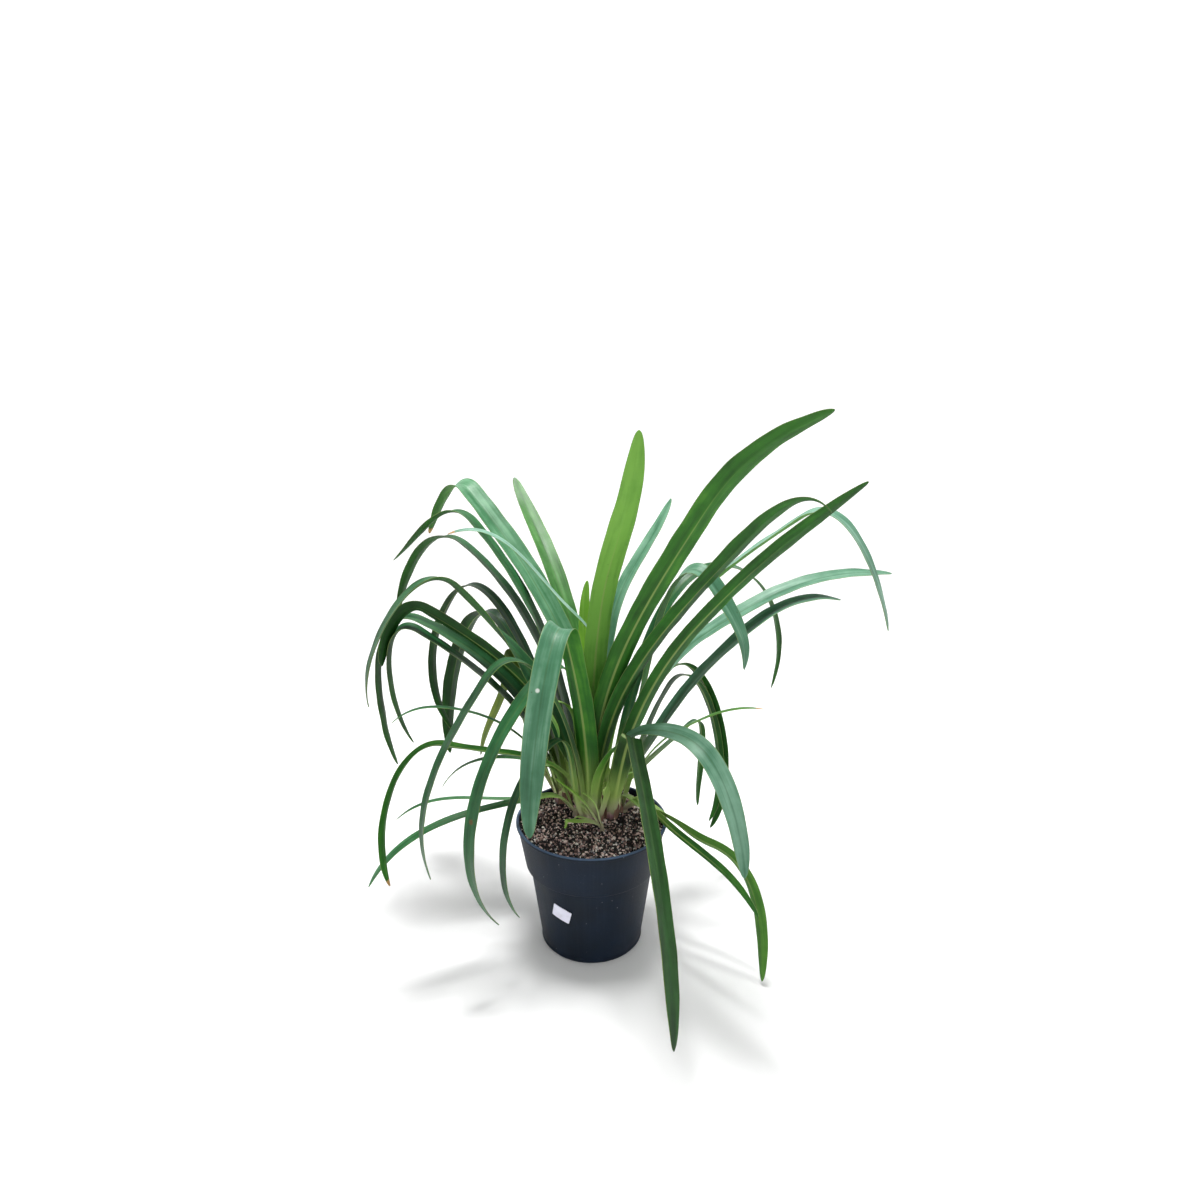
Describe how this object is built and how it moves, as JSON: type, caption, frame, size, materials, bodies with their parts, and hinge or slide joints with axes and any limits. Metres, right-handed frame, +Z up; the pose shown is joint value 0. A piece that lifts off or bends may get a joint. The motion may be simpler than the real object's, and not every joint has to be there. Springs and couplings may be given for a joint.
{
  "type": "potted agapanthus plant",
  "caption": "Clump of long arching strap leaves of an agapanthus without flowers, standing in a round tapering nursery pot with a grit top.",
  "frame": {"origin": "middle of the pot's resting face, on the flat pad in the middle of its base", "axes": "+Z up, -Y towards the side seen from the front, +X to the right of that view"},
  "size_m": [0.6997, 0.5957, 0.7267],
  "materials": {
    "pot_plastic": "satin moulded plastic",
    "grit": "loose rough grit",
    "label_paper": "blank matt sticker",
    "crown": "smooth fleshy",
    "leaf": "waxy leaf, satin",
    "young_leaf": "waxy young leaf, satin",
    "old_leaf": "drying leaf, matt"
  },
  "bodies": {
    "root": {"pot": "pot_plastic", "growing_medium": "grit", "price_label": "label_paper", "crown_main": "crown", "crown_mid": "crown", "crown_left": "crown", "crown_right": "crown", "crown_back": "crown", "leaf_main_01": "young_leaf", "leaf_main_02": "leaf", "leaf_main_03": "leaf", "leaf_main_04": "leaf", "leaf_main_05": "leaf", "leaf_main_06": "leaf", "leaf_main_07": "leaf", "leaf_main_08": "leaf", "leaf_main_09": "leaf", "leaf_main_10": "leaf", "leaf_mid_01": "leaf", "leaf_mid_02": "leaf", "leaf_mid_03": "leaf", "leaf_mid_04": "leaf", "leaf_mid_05": "leaf", "leaf_mid_06": "leaf", "leaf_mid_07": "leaf", "leaf_mid_08": "leaf", "leaf_mid_09": "leaf", "leaf_left_01": "leaf", "leaf_left_02": "leaf", "leaf_left_03": "leaf", "leaf_left_04": "leaf", "leaf_left_05": "leaf", "leaf_left_06": "old_leaf", "leaf_left_07": "leaf", "leaf_back_01": "leaf", "leaf_back_02": "leaf", "leaf_back_03": "leaf", "leaf_back_04": "leaf", "leaf_back_05": "leaf", "leaf_back_06": "leaf", "leaf_back_07": "leaf", "leaf_back_08": "leaf", "leaf_right_01": "leaf", "leaf_right_02": "leaf", "leaf_right_03": "leaf", "shoot_edge": "leaf", "shoot_small": "leaf", "shoot_front": "young_leaf"}
  },
  "joints": []
}
